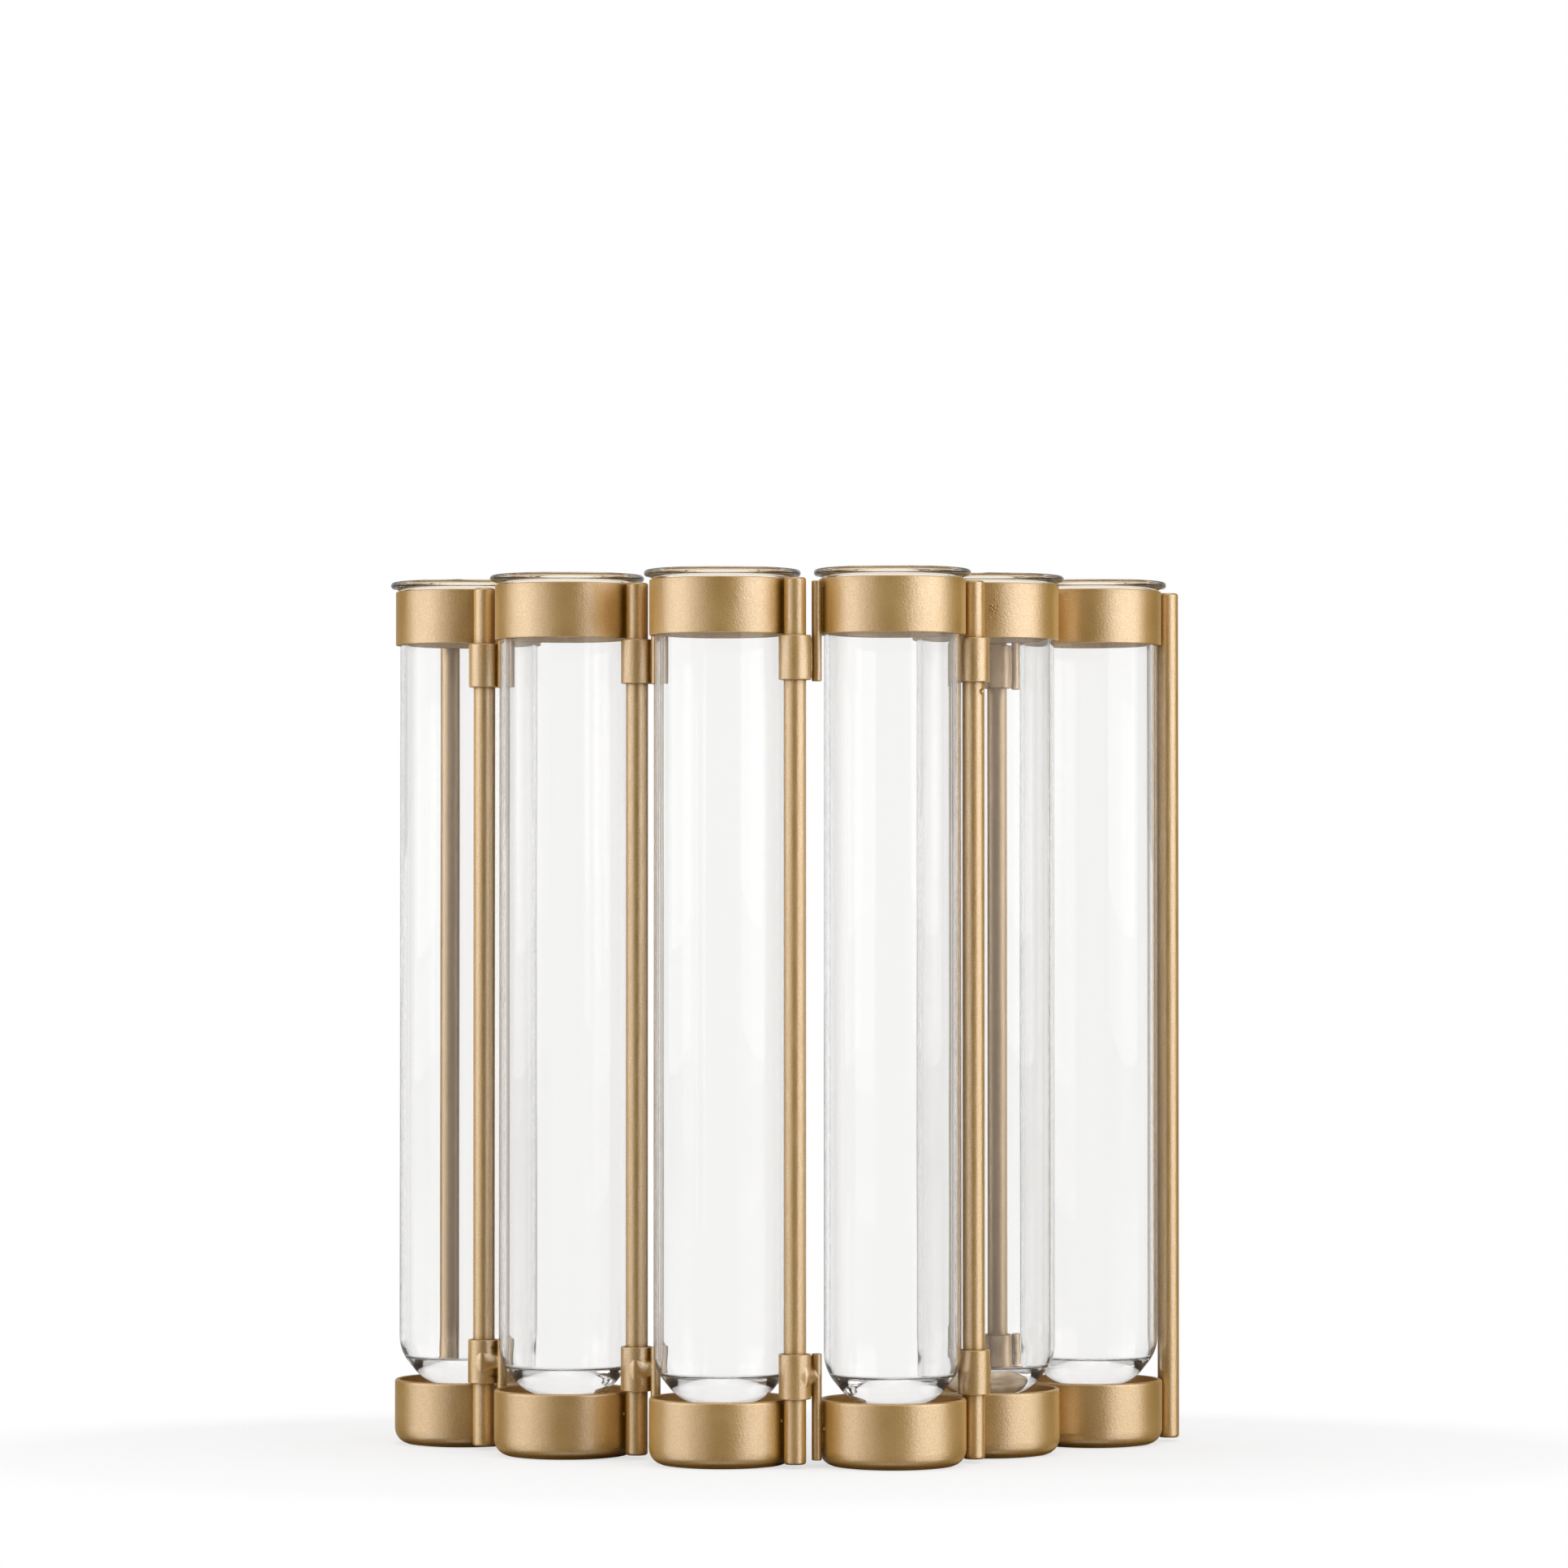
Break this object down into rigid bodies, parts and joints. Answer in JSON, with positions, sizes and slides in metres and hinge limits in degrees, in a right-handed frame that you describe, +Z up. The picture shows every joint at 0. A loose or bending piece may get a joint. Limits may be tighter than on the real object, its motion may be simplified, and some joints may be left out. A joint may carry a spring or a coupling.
{
  "type": "test tube vase",
  "caption": "Folding row of glass test tubes, each hung by its lip in a gold metal ring over a foot cup, hinged rod to sleeve, for cut stems.",
  "frame": {"origin": "on the table, under the middle of the bounding box of the row as it stands in the picture", "axes": "+Z up along the tubes, +X along the row to the right as seen in the picture, +Y away from the viewer"},
  "size_m": [0.1474, 0.0772, 0.1603],
  "materials": {
    "gold_paint": "satin champagne gold metallic paint",
    "clear_glass": "clear polished borosilicate"
  },
  "bodies": {
    "holder_1": {"top_ring_1": "gold_paint", "foot_cup_1": "gold_paint", "weld_beads_1": "gold_paint", "hinge_rod_1": "gold_paint", "end_rod_left": "gold_paint"},
    "holder_2": {"top_ring_2": "gold_paint", "foot_cup_2": "gold_paint", "weld_beads_2": "gold_paint", "hinge_rod_2": "gold_paint", "upper_bar_2": "gold_paint", "upper_sleeve_2": "gold_paint", "lower_bar_2": "gold_paint", "lower_sleeve_2": "gold_paint"},
    "holder_3": {"top_ring_3": "gold_paint", "foot_cup_3": "gold_paint", "weld_beads_3": "gold_paint", "hinge_rod_3": "gold_paint", "upper_bar_3": "gold_paint", "upper_sleeve_3": "gold_paint", "lower_bar_3": "gold_paint", "lower_sleeve_3": "gold_paint"},
    "holder_4": {"top_ring_4": "gold_paint", "foot_cup_4": "gold_paint", "weld_beads_4": "gold_paint", "hinge_rod_4": "gold_paint", "upper_bar_4": "gold_paint", "upper_sleeve_4": "gold_paint", "lower_bar_4": "gold_paint", "lower_sleeve_4": "gold_paint"},
    "holder_5": {"top_ring_5": "gold_paint", "foot_cup_5": "gold_paint", "weld_beads_5": "gold_paint", "hinge_rod_5": "gold_paint", "upper_bar_5": "gold_paint", "upper_sleeve_5": "gold_paint", "lower_bar_5": "gold_paint", "lower_sleeve_5": "gold_paint"},
    "holder_6": {"top_ring_6": "gold_paint", "foot_cup_6": "gold_paint", "weld_beads_6": "gold_paint", "end_rod_right": "gold_paint", "upper_bar_6": "gold_paint", "upper_sleeve_6": "gold_paint", "lower_bar_6": "gold_paint", "lower_sleeve_6": "gold_paint"},
    "tube_1": {"glass_tube_1": "clear_glass", "tube_lip_1": "clear_glass"},
    "tube_2": {"glass_tube_2": "clear_glass", "tube_lip_2": "clear_glass"},
    "tube_3": {"glass_tube_3": "clear_glass", "tube_lip_3": "clear_glass"},
    "tube_4": {"glass_tube_4": "clear_glass", "tube_lip_4": "clear_glass"},
    "tube_5": {"glass_tube_5": "clear_glass", "tube_lip_5": "clear_glass"},
    "tube_6": {"glass_tube_6": "clear_glass", "tube_lip_6": "clear_glass"}
  },
  "joints": [
    {"name": "hinge_1_2", "type": "hinge", "parent": "holder_2", "child": "holder_1", "pos_m": [-0.05557, 0.00674, 0], "axis": [0, 0, -1], "range_deg": [-107, 23]},
    {"name": "hinge_2_3", "type": "hinge", "parent": "holder_3", "child": "holder_2", "pos_m": [-0.02713, -0.01172, 0], "axis": [0, 0, 1], "range_deg": [-65, 65]},
    {"name": "hinge_3_4", "type": "hinge", "parent": "holder_3", "child": "holder_4", "pos_m": [0.0013, -0.03019, 0], "axis": [0, 0, 1], "range_deg": [-116, 14]},
    {"name": "hinge_4_5", "type": "hinge", "parent": "holder_4", "child": "holder_5", "pos_m": [0.03354, -0.01971, 0], "axis": [0, 0, -1], "range_deg": [-3, 127]},
    {"name": "hinge_5_6", "type": "hinge", "parent": "holder_5", "child": "holder_6", "pos_m": [0.03942, 0.01367, 0], "axis": [0, 0, 1], "range_deg": [-3, 127]},
    {"name": "lift_tube_1", "type": "slide", "parent": "holder_1", "child": "tube_1", "axis": [0, 0, 1], "range_m": [0, 0.155]},
    {"name": "lift_tube_2", "type": "slide", "parent": "holder_2", "child": "tube_2", "axis": [0, 0, 1], "range_m": [0, 0.155]},
    {"name": "lift_tube_3", "type": "slide", "parent": "holder_3", "child": "tube_3", "axis": [0, 0, 1], "range_m": [0, 0.155]},
    {"name": "lift_tube_4", "type": "slide", "parent": "holder_4", "child": "tube_4", "axis": [0, 0, 1], "range_m": [0, 0.155]},
    {"name": "lift_tube_5", "type": "slide", "parent": "holder_5", "child": "tube_5", "axis": [0, 0, 1], "range_m": [0, 0.155]},
    {"name": "lift_tube_6", "type": "slide", "parent": "holder_6", "child": "tube_6", "axis": [0, 0, 1], "range_m": [0, 0.155]}
  ]
}
